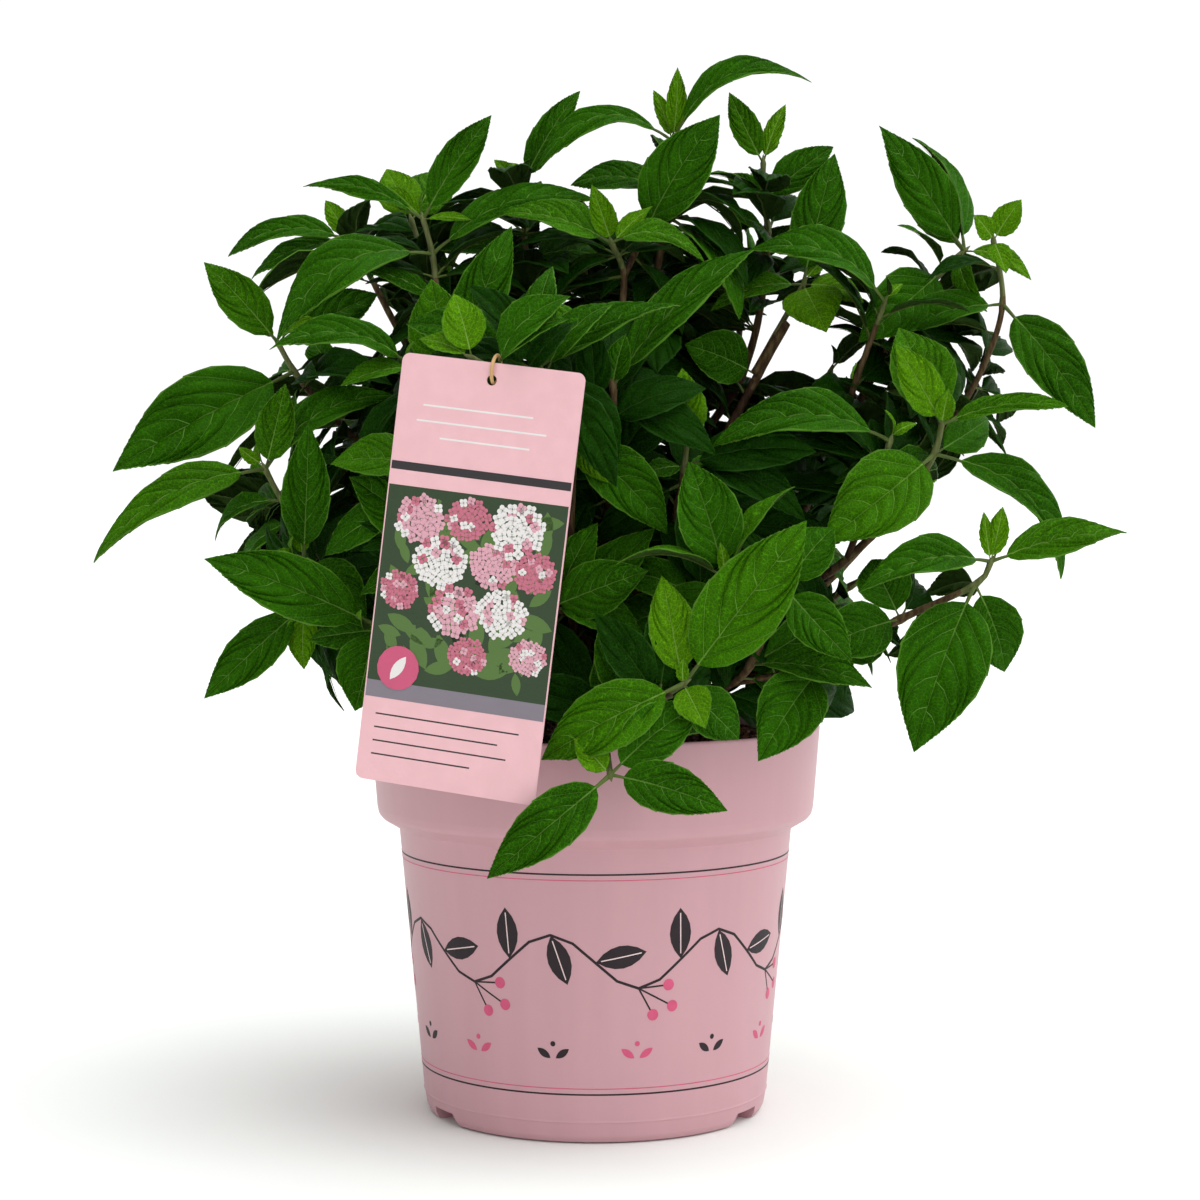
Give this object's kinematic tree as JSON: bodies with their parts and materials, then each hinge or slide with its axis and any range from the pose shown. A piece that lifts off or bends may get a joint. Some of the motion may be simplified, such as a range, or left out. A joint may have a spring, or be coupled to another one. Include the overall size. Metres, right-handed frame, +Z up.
{
  "type": "potted hydrangea shrub",
  "caption": "Leafy hydrangea shrub, not in flower, in a round tapering nursery pot with a wide rim band and a blank-style hang tag.",
  "frame": {"origin": "centre of the pot's flat underside, on the ground", "axes": "+Z up along the pot's axis; the picture looks along +Y, with +X to its right"},
  "size_m": [0.421, 0.3413, 0.448],
  "materials": {
    "pot_plastic": "matt thermoformed pink plastic",
    "potting_soil": "loose moist peat and bark fibre",
    "bark": "young red-brown to olive bark",
    "leaves": "quilted green leaves with paler veins",
    "tag_card": "printed satin card",
    "tie_rubber": "tan elastic tie"
  },
  "bodies": {
    "root": {"foliage_back_centre": "leaves", "foliage_back_left": "leaves", "foliage_back_left_low": "leaves", "foliage_back_left_middle": "leaves", "foliage_back_right": "leaves", "foliage_back_right_low": "leaves", "foliage_back_right_middle": "leaves", "foliage_behind_tag": "leaves", "foliage_centre": "leaves", "foliage_centre_top": "leaves", "foliage_centre_upper": "leaves", "foliage_front": "leaves", "foliage_left_low": "leaves", "foliage_left_upper": "leaves", "foliage_right_centre": "leaves", "foliage_right_centre_low": "leaves", "foliage_right_front_low": "leaves", "foliage_right_low": "leaves", "foliage_right_middle": "leaves", "foliage_right_upper": "leaves", "foliage_tag_side": "leaves", "foliage_top": "leaves", "foliage_top_left": "leaves", "foliage_upper_left": "leaves", "foliage_upper_left_back": "leaves", "hang_tag_card": "tag_card", "hang_tag_tie": "tie_rubber", "pot": "pot_plastic", "potting_soil": "potting_soil", "stem_back_centre": "bark", "stem_back_left": "bark", "stem_back_left_low": "bark", "stem_back_left_middle": "bark", "stem_back_right": "bark", "stem_back_right_low": "bark", "stem_back_right_middle": "bark", "stem_behind_tag": "bark", "stem_centre": "bark", "stem_centre_top": "bark", "stem_centre_upper": "bark", "stem_front": "bark", "stem_left_low": "bark", "stem_left_upper": "bark", "stem_right_centre": "bark", "stem_right_centre_low": "bark", "stem_right_front_low": "bark", "stem_right_low": "bark", "stem_right_middle": "bark", "stem_right_upper": "bark", "stem_tag_side": "bark", "stem_top": "bark", "stem_top_left": "bark", "stem_upper_left": "bark", "stem_upper_left_back": "bark", "woody_base": "bark"}
  },
  "joints": []
}
